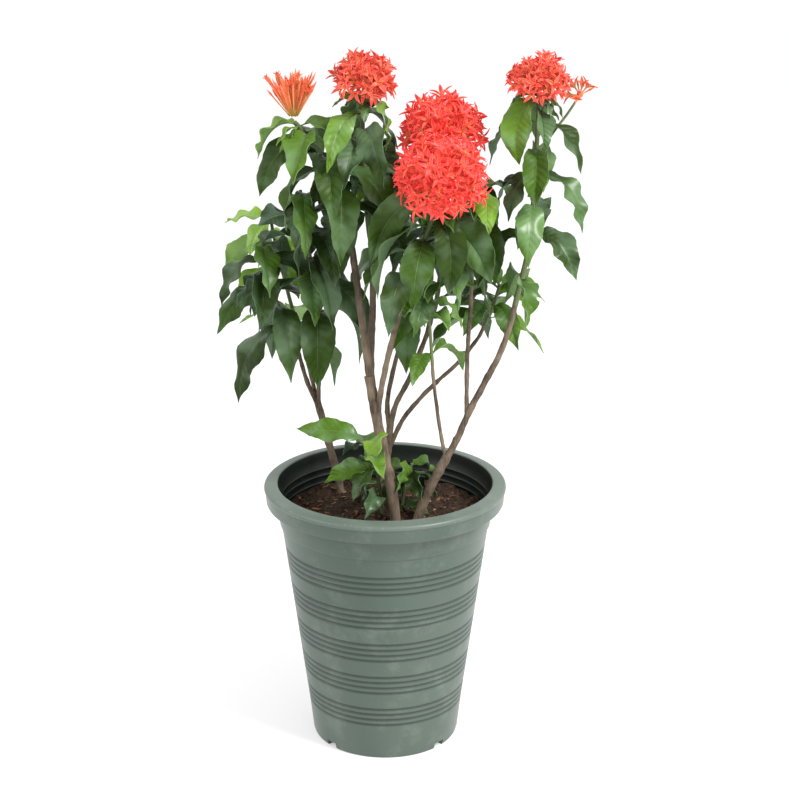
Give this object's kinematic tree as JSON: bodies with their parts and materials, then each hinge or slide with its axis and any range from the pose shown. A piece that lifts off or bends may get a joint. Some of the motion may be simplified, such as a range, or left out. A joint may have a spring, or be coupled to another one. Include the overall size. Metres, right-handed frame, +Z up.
{
  "type": "potted ixora",
  "caption": "Flowering ixora shrub: woody canes with drooping glossy leaves and round heads of star-shaped red florets, rooted in soil in a tapered ribbed plastic nursery pot.",
  "frame": {"origin": "middle of the pot's flat foot, at floor level", "axes": "+Z up the pot's axis, -Y towards the side the picture shows, +X to that side's right"},
  "size_m": [0.3852, 0.3172, 0.7354],
  "materials": {
    "pot": "dark grey-green moulded plastic, satin",
    "soil": "damp dark brown potting soil, rough",
    "bark": "thin grey-brown bark, matt",
    "leaf": "leathery dark green leaf, softly glossy",
    "red_floret": "soft red petal, matt",
    "orange_floret": "soft orange petal and bud, matt"
  },
  "bodies": {
    "root": {"pot": "pot", "soil": "soil", "wood_front": "bark", "wood_right": "bark", "wood_back": "bark", "wood_left": "bark", "shoot_amber": "leaf", "shoot_coral": "leaf", "shoot_rose": "leaf", "shoot_flame": "leaf", "shoot_summit": "leaf", "shoot_far_right": "leaf", "shoot_rear": "leaf", "shoot_upright": "leaf", "shoot_slim": "leaf", "shoot_outer_left": "leaf", "shoot_back_left": "leaf", "shoot_inner_left": "leaf", "shoot_low_front": "leaf", "shoot_low_right": "leaf", "head_rose": "red_floret", "head_summit": "red_floret", "head_flame": "red_floret", "head_coral": "red_floret", "head_amber": "orange_floret", "head_twig": "orange_floret"}
  },
  "joints": []
}
